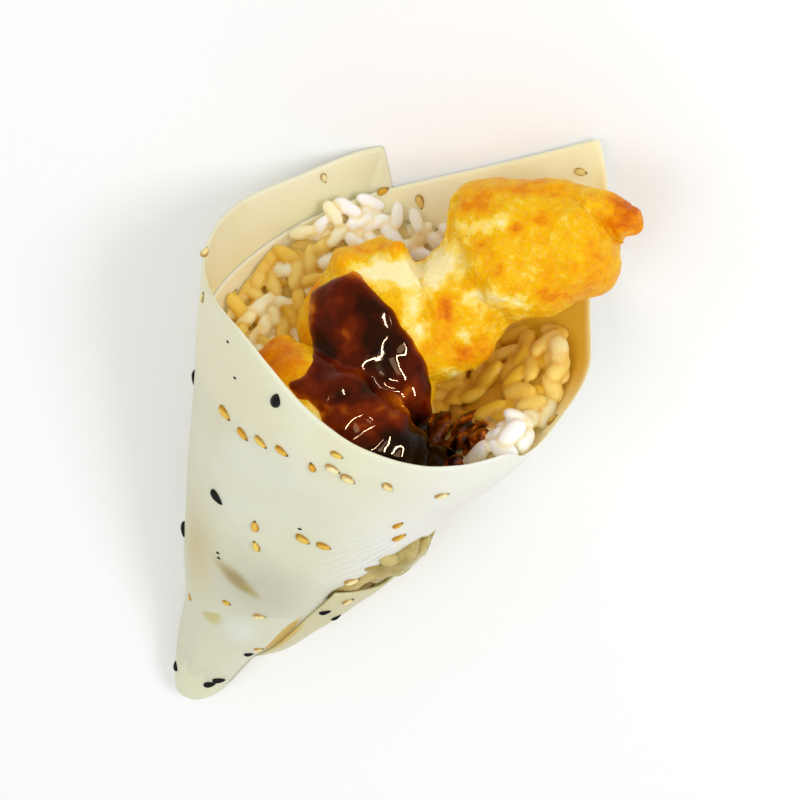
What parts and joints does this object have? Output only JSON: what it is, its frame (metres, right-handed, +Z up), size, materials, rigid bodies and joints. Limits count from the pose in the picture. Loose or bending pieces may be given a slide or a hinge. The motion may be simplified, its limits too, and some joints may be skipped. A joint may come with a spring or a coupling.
{
  "type": "temaki hand roll",
  "caption": "Cone-shaped hand roll of sesame soy paper round sushi rice, with prawn tempura and a thick dark sweet soy sauce in the open mouth, lying on its side.",
  "frame": {"origin": "middle of the bottom of the part's box, on the surface it lies on", "axes": "+Y from the open mouth to the twisted tip, +Z up, +X to the side away from the tail of the long tempura piece"},
  "size_m": [0.0634, 0.1286, 0.0507],
  "materials": {
    "soy_paper": "thin, translucent, satin cream sheet with sesame seeds",
    "rice": "moist, slightly glossy cooked grains",
    "batter": "crisp fried batter, oily, with glossy dark sauce over part of it"
  },
  "bodies": {
    "root": {"wrapper": "soy_paper", "rice": "rice", "tempura_long": "batter", "tempura_short": "batter"}
  },
  "joints": []
}
